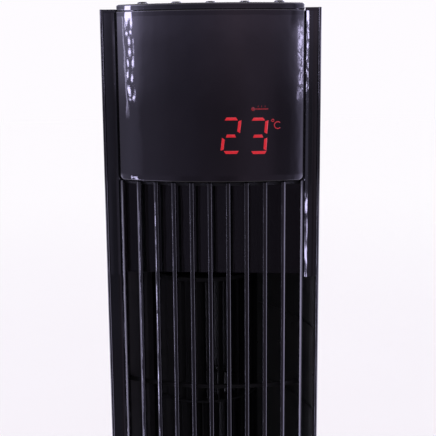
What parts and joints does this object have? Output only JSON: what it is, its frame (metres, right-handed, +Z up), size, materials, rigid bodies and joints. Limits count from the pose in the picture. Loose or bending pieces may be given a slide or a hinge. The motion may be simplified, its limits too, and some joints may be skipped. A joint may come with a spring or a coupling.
{
  "type": "tower fan",
  "caption": "Slim glossy black tower fan: bowed front with vertical slats, a temperature display and top buttons, on a round swinging base.",
  "frame": {"origin": "middle of the base on the floor, on the swing axis", "axes": "+Z up along the swing axis, the front faces -Y, +X to the right as seen from the front"},
  "size_m": [0.3, 0.3, 1.0024],
  "materials": {
    "gloss_black": "high-gloss moulded black",
    "display_gloss": "polished smoked black",
    "satin_black": "fine satin texture",
    "dark_plastic": "semi-gloss moulded",
    "cast_iron": "as cast, painted",
    "rubber": "matt",
    "steel": "zinc plated",
    "bronze": "sintered bronze and enamelled copper",
    "natural_plastic": "natural acetal",
    "board": "solder-masked board",
    "led_red": "lit red segments"
  },
  "bodies": {
    "base": {"base_cover": "gloss_black", "base_plate": "satin_black", "base_weight": "cast_iron", "base_feet": "rubber", "base_screws": "steel", "cord_bush": "rubber", "swing_motor": "steel", "glide_ring": "natural_plastic"},
    "pinion": {"swing_pinion": "natural_plastic"},
    "column": {"swing_gear": "natural_plastic", "swing_hub": "dark_plastic", "swing_screws": "steel", "column_base": "gloss_black", "rear_casing": "gloss_black", "rear_grille": "satin_black", "upper_plate": "gloss_black", "lower_plate": "gloss_black", "front_grille": "gloss_black", "lower_panel": "gloss_black", "handle_cup": "satin_black", "casing_screws": "steel", "duct_scroll": "dark_plastic", "duct_tongue": "gloss_black", "duct_top_plate": "dark_plastic", "motor_deck": "dark_plastic", "upper_bearing": "bronze", "bearing_seat": "rubber", "motor_case_upper": "steel", "motor_case_lower": "steel", "motor_stator": "steel", "motor_windings": "bronze", "motor_bushes": "bronze", "motor_mounts": "rubber", "motor_screws": "steel", "motor_capacitor": "natural_plastic", "power_board": "board", "wiring_harness": "rubber", "temperature_sensor": "natural_plastic", "top_cap": "gloss_black", "display_lens": "display_gloss", "display_board": "board", "led_digits": "led_red", "control_board": "board", "tact_switches": "satin_black"},
    "impeller": {"impeller_segment_1": "dark_plastic", "impeller_segment_2": "dark_plastic", "impeller_segment_3": "dark_plastic", "impeller_segment_4": "dark_plastic", "impeller_segment_5": "dark_plastic", "impeller_end_cap": "dark_plastic", "impeller_axle": "steel", "impeller_hub": "dark_plastic", "motor_shaft": "steel", "motor_rotor": "steel"},
    "button_power": {"button_power": "gloss_black"},
    "button_speed": {"button_speed": "gloss_black"},
    "button_swing": {"button_swing": "gloss_black"},
    "button_timer": {"button_timer": "gloss_black"},
    "button_mode": {"button_mode": "gloss_black"}
  },
  "joints": [
    {"name": "column_swing", "type": "hinge", "parent": "base", "child": "column", "pos_m": [0, 0, 0.035], "axis": [0, 0, 1], "range_deg": [-40, 40]},
    {"name": "pinion_spin", "type": "hinge", "parent": "base", "child": "pinion", "pos_m": [0, 0.04688, 0.024], "axis": [0, 0, 1], "range_deg": [-164, 164]},
    {"name": "impeller_spin", "type": "hinge", "parent": "column", "child": "impeller", "pos_m": [-0.012, 0.004, 0.5], "axis": [0, 0, 1], "continuous": true},
    {"name": "press_power", "type": "slide", "parent": "column", "child": "button_power", "axis": [0, 0, -1], "range_m": [0, 0.0009], "stiffness_N_per_m": 800},
    {"name": "press_speed", "type": "slide", "parent": "column", "child": "button_speed", "axis": [0, 0, -1], "range_m": [0, 0.0009], "stiffness_N_per_m": 800},
    {"name": "press_swing", "type": "slide", "parent": "column", "child": "button_swing", "axis": [0, 0, -1], "range_m": [0, 0.0009], "stiffness_N_per_m": 800},
    {"name": "press_timer", "type": "slide", "parent": "column", "child": "button_timer", "axis": [0, 0, -1], "range_m": [0, 0.0009], "stiffness_N_per_m": 800},
    {"name": "press_mode", "type": "slide", "parent": "column", "child": "button_mode", "axis": [0, 0, -1], "range_m": [0, 0.0009], "stiffness_N_per_m": 800}
  ],
  "couplings": [
    {"joint": "pinion_spin", "follows": "column_swing", "ratio": -4}
  ]
}
